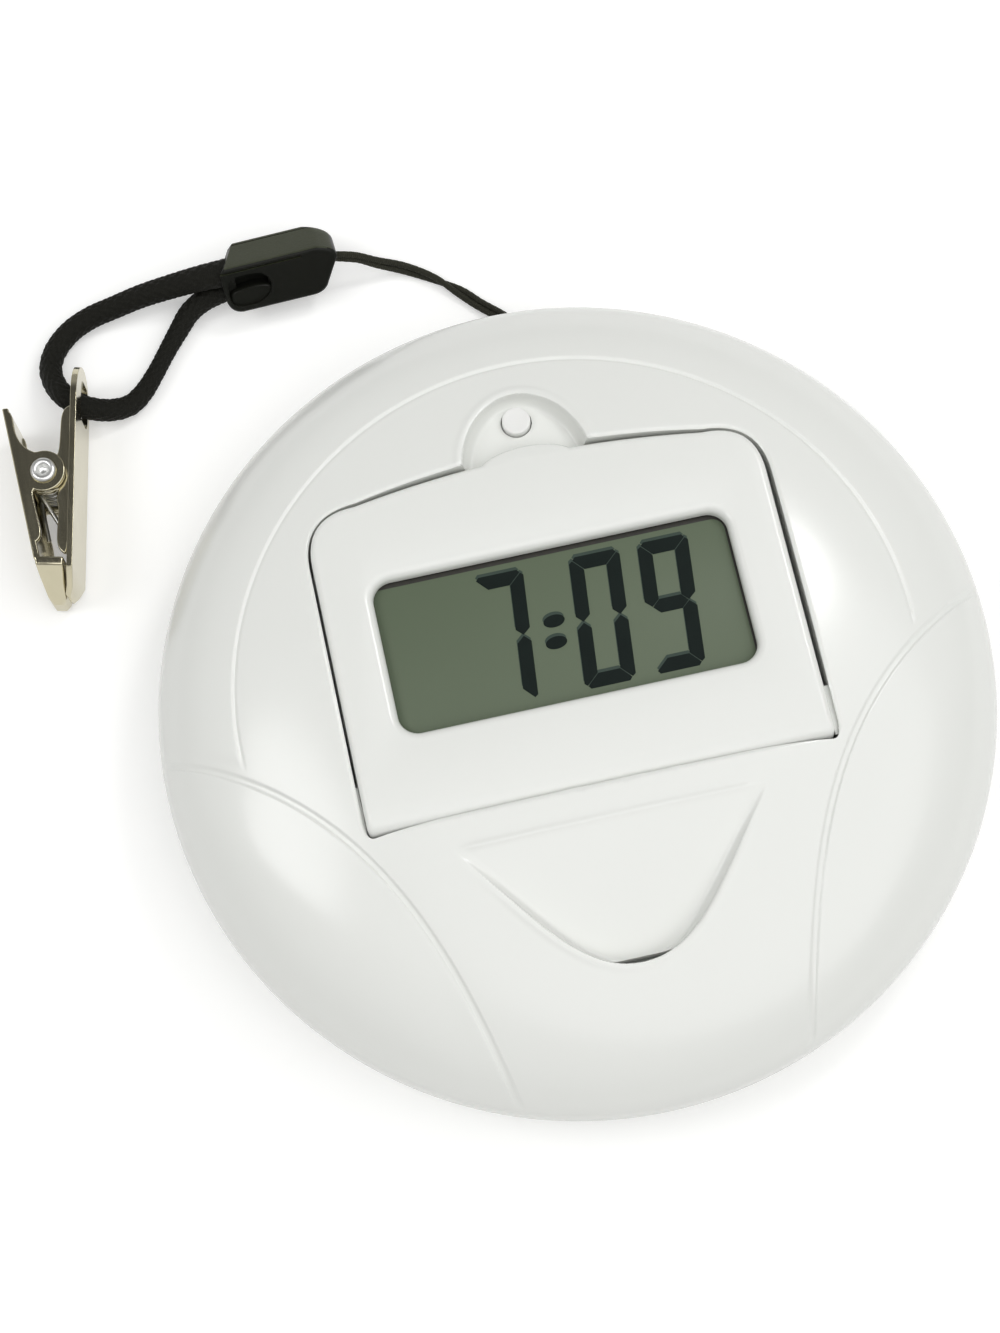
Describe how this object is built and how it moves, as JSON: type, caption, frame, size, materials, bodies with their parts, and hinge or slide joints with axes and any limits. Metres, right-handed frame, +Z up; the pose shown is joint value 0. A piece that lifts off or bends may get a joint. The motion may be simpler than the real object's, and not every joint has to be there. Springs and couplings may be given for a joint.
{
  "type": "vibrating alarm clock",
  "caption": "Round saucer-shaped travel alarm clock with a flip-up display lid, an inside shaker motor, and a wrist loop with a spring clip for a pillow or sheet.",
  "frame": {"origin": "centre of the flat base, on the surface it stands on", "axes": "+Z up through the display, +Y from the front of the case towards the round button behind the lid, +X to the clock's right"},
  "size_m": [0.1132, 0.1223, 0.0234],
  "materials": {
    "white_plastic": "glossy moulded",
    "button_plastic": "satin moulded",
    "display": "grey-green liquid crystal glass",
    "dark_rubber": "matte",
    "board": "solder mask",
    "dark_part": "matte moulded",
    "steel": "plated",
    "weight_metal": "sintered",
    "cell_wrap": "printed film",
    "black_cord": "braided",
    "black_plastic": "satin moulded",
    "nickel": "bright plated"
  },
  "bodies": {
    "case": {"top_case": "white_plastic", "bottom_case": "white_plastic", "case_screw_1": "steel", "case_screw_2": "steel", "case_screw_3": "steel", "case_screw_4": "steel", "hinge_pin": "steel", "hinge_bush": "steel", "display_cable": "dark_part", "main_board": "board", "tact_switch_1": "dark_part", "tact_switch_2": "dark_part", "tact_switch_3": "dark_part", "tact_switch_4": "dark_part", "tact_switch_5": "dark_part", "slide_switch": "steel", "clock_chip": "dark_part", "crystal": "steel", "sounder": "dark_part", "motor_can": "steel", "motor_bracket": "dark_part", "cell_1": "cell_wrap", "cell_2": "cell_wrap", "contact_spring_1": "steel", "contact_spring_2": "steel", "positive_contact": "steel", "negative_contact": "steel", "bridge_contact": "steel", "strap_pin": "steel", "thin_cord": "black_cord", "braided_loop": "black_cord", "joiner_body": "black_plastic", "joiner_cover": "black_plastic", "clip_long_jaw": "nickel", "clip_rivet": "nickel", "clip_spring": "steel"},
    "lid": {"lid_frame": "white_plastic", "lid_back": "white_plastic", "lid_screw_left": "steel", "lid_screw_right": "steel", "lcd_panel": "display", "zebra_strip_front": "dark_rubber", "zebra_strip_back": "dark_rubber", "display_board": "board"},
    "test_key": {"test_button": "button_plastic"},
    "hour_key": {"hour_button": "button_plastic"},
    "minute_key": {"minute_button": "button_plastic"},
    "time_key": {"time_button": "button_plastic"},
    "alarm_key": {"alarm_button": "button_plastic"},
    "mode_slider": {"mode_knob": "dark_part"},
    "door": {"battery_door": "white_plastic"},
    "rotor": {"motor_shaft": "steel", "eccentric_weight": "weight_metal"},
    "clip_lever": {"clip_short_jaw": "nickel"}
  },
  "joints": [
    {"name": "lid_hinge", "type": "hinge", "parent": "case", "child": "lid", "pos_m": [0, -0.0102, 0.01905], "axis": [1, 0, 0], "range_deg": [0, 75]},
    {"name": "test_press", "type": "slide", "parent": "case", "child": "test_key", "axis": [0, 0, -1], "range_m": [0, 0.0006], "stiffness_N_per_m": 1000},
    {"name": "hour_press", "type": "slide", "parent": "case", "child": "hour_key", "axis": [0, 0, -1], "range_m": [0, 0.0005], "stiffness_N_per_m": 1000},
    {"name": "minute_press", "type": "slide", "parent": "case", "child": "minute_key", "axis": [0, 0, -1], "range_m": [0, 0.0005], "stiffness_N_per_m": 1000},
    {"name": "time_press", "type": "slide", "parent": "case", "child": "time_key", "axis": [0, 0, -1], "range_m": [0, 0.0005], "stiffness_N_per_m": 1000},
    {"name": "alarm_press", "type": "slide", "parent": "case", "child": "alarm_key", "axis": [0, 0, -1], "range_m": [0, 0.0005], "stiffness_N_per_m": 1000},
    {"name": "mode_slide", "type": "slide", "parent": "case", "child": "mode_slider", "axis": [1, 0, 0], "range_m": [-0.002, 0.002]},
    {"name": "battery_door_hinge", "type": "hinge", "parent": "case", "child": "door", "pos_m": [0, -0.0184, 0.0004], "axis": [1, 0, 0], "range_deg": [0, 45]},
    {"name": "motor_spin", "type": "hinge", "parent": "case", "child": "rotor", "pos_m": [0.0366, 0, 0.0093], "axis": [0, 1, 0], "continuous": true},
    {"name": "clip_squeeze", "type": "hinge", "parent": "case", "child": "clip_lever", "pos_m": [-0.0585, 0.0434, 0.0056], "axis": [0, 0, -1], "range_deg": [0, 25], "stiffness_Nm_per_rad": 0.1}
  ]
}
